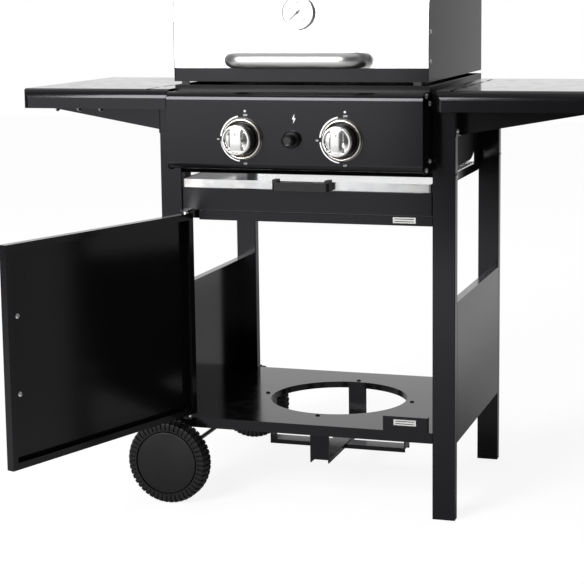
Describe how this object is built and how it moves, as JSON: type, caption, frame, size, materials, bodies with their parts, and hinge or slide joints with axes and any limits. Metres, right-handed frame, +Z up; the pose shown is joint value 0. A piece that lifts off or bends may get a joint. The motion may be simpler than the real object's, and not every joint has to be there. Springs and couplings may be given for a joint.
{
  "type": "gas grill",
  "caption": "Gas grill on a wheeled cart with a hinged hood, knobs, igniter button, drip tray, side tables and an open cabinet door over a bottle shelf.",
  "frame": {"origin": "on the floor under the middle of the bounding box", "axes": "+X to the right as seen from the front, +Y to the back, +Z up"},
  "size_m": [1.02, 0.9012, 1],
  "materials": {
    "black_coat": "satin powder coat",
    "stainless": "brushed",
    "galvanised": "galvanised",
    "chrome": "polished",
    "screw_steel": "zinc plated",
    "cast_iron": "seasoned",
    "burner_steel": "plain",
    "brass": "plain",
    "black_plastic": "moulded",
    "wheel_plastic": "moulded",
    "white_plastic": "moulded",
    "ceramic": "glazed",
    "rubber": "moulded"
  },
  "bodies": {
    "cart": {"axle_and_caps": "screw_steel", "bottle_straps": "black_coat", "bottom_shelf": "black_coat", "burners": "burner_steel", "cart_screws": "screw_steel", "catch_bracket": "black_coat", "control_panel": "black_coat", "cooking_grates": "cast_iron", "door_hinge_brackets": "black_coat", "door_hinge_pins": "screw_steel", "firebox": "black_coat", "flame_covers": "burner_steel", "foot_caps": "black_plastic", "front_apron": "black_coat", "front_left_leg": "black_coat", "front_rail": "black_coat", "front_right_leg": "black_coat", "gas_manifold": "burner_steel", "gas_valves": "brass", "hood_hinge_fixed_leaves": "galvanised", "igniter_body": "black_plastic", "igniter_electrode": "ceramic", "knob_bezels": "chrome", "left_table": "black_coat", "magnet_catches": "white_plastic", "rear_left_leg": "black_coat", "rear_rail": "black_coat", "rear_right_leg": "black_coat", "right_table": "black_coat", "side_panels": "black_coat", "side_rails": "black_coat", "strap_screws": "screw_steel", "table_brackets": "black_coat", "table_rails": "black_coat", "tool_hooks": "galvanised", "tray_runners": "black_coat"},
    "door": {"door": "black_coat", "door_handle": "stainless", "door_screws": "screw_steel"},
    "hood": {"hood_skin": "stainless", "hood_strip": "black_coat", "hood_back": "black_coat", "hood_end_caps": "black_coat", "hood_rivets": "screw_steel", "hood_handle": "stainless", "hood_gauge": "stainless", "hood_bumpers": "rubber", "hood_hinge_leaves": "galvanised", "hood_hinge_pins": "screw_steel"},
    "left_stem": {"left_valve_stem": "screw_steel"},
    "left_knob_body": {"left_knob": "chrome"},
    "right_stem": {"right_valve_stem": "screw_steel"},
    "right_knob_body": {"right_knob": "chrome"},
    "igniter": {"igniter_button": "black_plastic"},
    "tray": {"drip_tray": "galvanised", "drip_tray_handle": "black_plastic"},
    "front_wheel_set": {"front_wheel": "wheel_plastic", "front_hub_cap": "wheel_plastic"},
    "rear_wheel_set": {"rear_wheel": "wheel_plastic", "rear_hub_cap": "wheel_plastic"}
  },
  "joints": [
    {"name": "door_hinge", "type": "hinge", "parent": "cart", "child": "door", "pos_m": [-0.218, -0.02688, 0.34725], "axis": [0, 0, 1], "range_deg": [-40, 109.3]},
    {"name": "hood_hinge", "type": "hinge", "parent": "cart", "child": "hood", "pos_m": [0, 0.41642, 0.7635], "axis": [-1, 0, 0], "range_deg": [0, 88]},
    {"name": "drip_tray_slide", "type": "slide", "parent": "cart", "child": "tray", "axis": [0, -1, 0], "range_m": [0, 0.28]},
    {"name": "igniter_press", "type": "slide", "parent": "cart", "child": "igniter", "axis": [0, 1, 0], "range_m": [0, 0.006], "stiffness_N_per_m": 1200, "springref_m": -0.002},
    {"name": "front_wheel_spin", "type": "hinge", "parent": "cart", "child": "front_wheel_set", "pos_m": [-0.255, -0.03938, 0.077], "axis": [0, 1, 0], "continuous": true},
    {"name": "rear_wheel_spin", "type": "hinge", "parent": "cart", "child": "rear_wheel_set", "pos_m": [-0.255, 0.42962, 0.077], "axis": [0, 1, 0], "continuous": true},
    {"name": "left_knob_push", "type": "slide", "parent": "cart", "child": "left_stem", "axis": [0, 1, 0], "range_m": [0, 0.003], "stiffness_N_per_m": 1500, "springref_m": -0.002},
    {"name": "left_knob_turn", "type": "hinge", "parent": "left_stem", "child": "left_knob_body", "pos_m": [-0.089, -0.10488, 0.671], "axis": [0, -1, 0], "range_deg": [0, 180]},
    {"name": "right_knob_push", "type": "slide", "parent": "cart", "child": "right_stem", "axis": [0, 1, 0], "range_m": [0, 0.003], "stiffness_N_per_m": 1500, "springref_m": -0.002},
    {"name": "right_knob_turn", "type": "hinge", "parent": "right_stem", "child": "right_knob_body", "pos_m": [0.089, -0.10488, 0.671], "axis": [0, -1, 0], "range_deg": [0, 180]}
  ]
}
